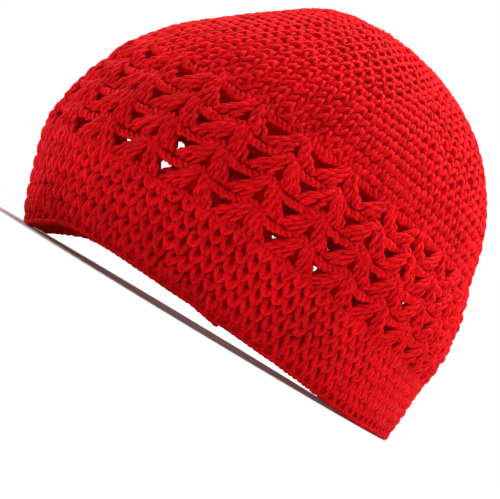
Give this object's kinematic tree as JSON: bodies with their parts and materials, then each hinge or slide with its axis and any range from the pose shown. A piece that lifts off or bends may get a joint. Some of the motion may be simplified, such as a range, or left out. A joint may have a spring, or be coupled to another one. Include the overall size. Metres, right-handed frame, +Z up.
{
  "type": "crocheted kufi cap",
  "caption": "Soft brimless skull cap crocheted in rounds: closed crown, openwork shell band, plain head band and rolled rim, standing on its rim with an open hollow for the head.",
  "frame": {"origin": "on the surface that the rim rests on, below the middle of the cap's length and width", "axes": "+Z up through the crown, -X towards the front of the cap, -Y towards the side where the rounds close"},
  "size_m": [0.2045, 0.172, 0.156],
  "materials": {
    "red_cotton_yarn": "matte crocheted cotton yarn"
  },
  "bodies": {
    "root": {"crown": "red_cotton_yarn", "openwork_band": "red_cotton_yarn", "head_band": "red_cotton_yarn", "rim_edging": "red_cotton_yarn"}
  },
  "joints": []
}
